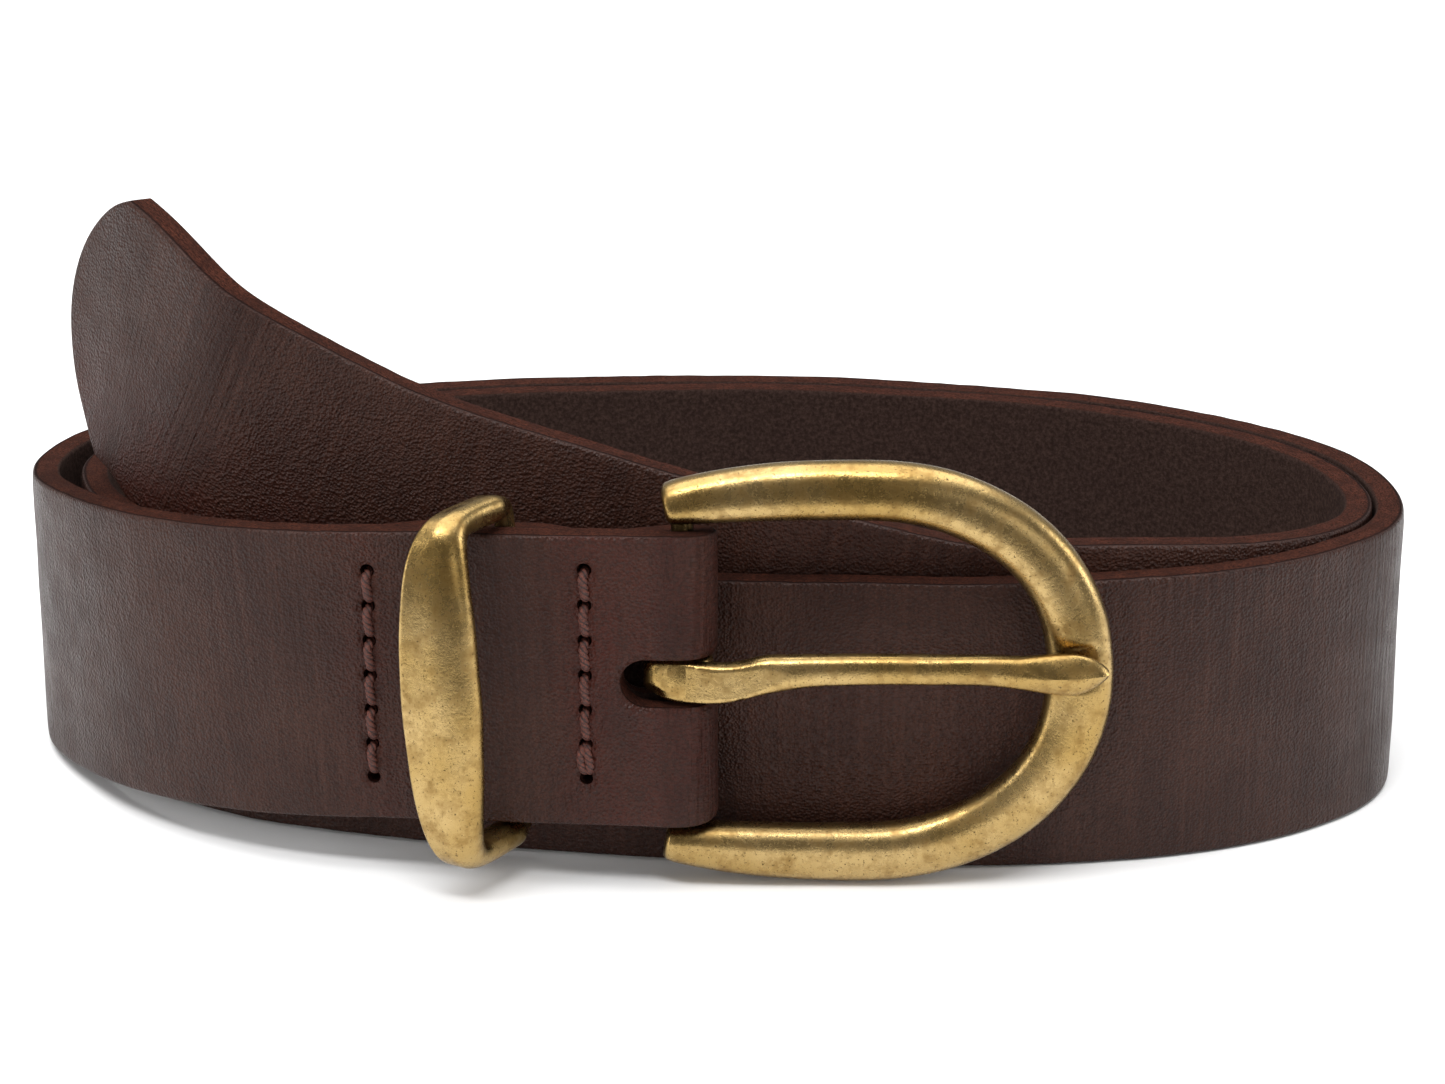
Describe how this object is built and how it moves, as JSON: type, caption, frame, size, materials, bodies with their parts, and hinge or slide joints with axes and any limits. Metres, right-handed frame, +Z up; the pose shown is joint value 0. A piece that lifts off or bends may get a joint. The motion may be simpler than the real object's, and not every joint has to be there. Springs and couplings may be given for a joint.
{
  "type": "leather belt",
  "caption": "Leather trouser belt coiled on its edge, with a brass horseshoe buckle, swinging prong and sliding keeper loop.",
  "frame": {"origin": "middle of the coiled belt's box, at the level it stands on", "axes": "+X along the coil's long side towards the buckle's bow, -Y towards the buckle's front, +Z up"},
  "size_m": [0.1834, 0.1036, 0.0781],
  "materials": {
    "strap_leather": "dark brown full-grain leather, semi-gloss, raw reddish edges",
    "antique_brass": "antiqued polished brass",
    "seam_thread": "waxed dark red-brown thread"
  },
  "bodies": {
    "strap": {"strap": "strap_leather", "seam_thread_buckle_front": "seam_thread", "seam_thread_buckle_back": "seam_thread", "seam_thread_keeper_front": "seam_thread", "seam_thread_keeper_back": "seam_thread"},
    "buckle": {"buckle_frame": "antique_brass", "buckle_bar": "antique_brass"},
    "prong": {"prong": "antique_brass"},
    "keeper": {"keeper_loop": "antique_brass"}
  },
  "joints": [
    {"name": "buckle_swing", "type": "hinge", "parent": "strap", "child": "buckle", "pos_m": [-0.00309, -0.04197, 0.02775], "axis": [0, 0, -1], "range_deg": [0, 60]},
    {"name": "prong_swing", "type": "hinge", "parent": "buckle", "child": "prong", "pos_m": [-0.00309, -0.04197, 0.02775], "axis": [0, 0, -1], "range_deg": [0, 50]},
    {"name": "keeper_slide", "type": "slide", "parent": "strap", "child": "keeper", "axis": [-0.9818, 0.185, -0.0434], "range_m": [-0.002, 0.009]}
  ]
}
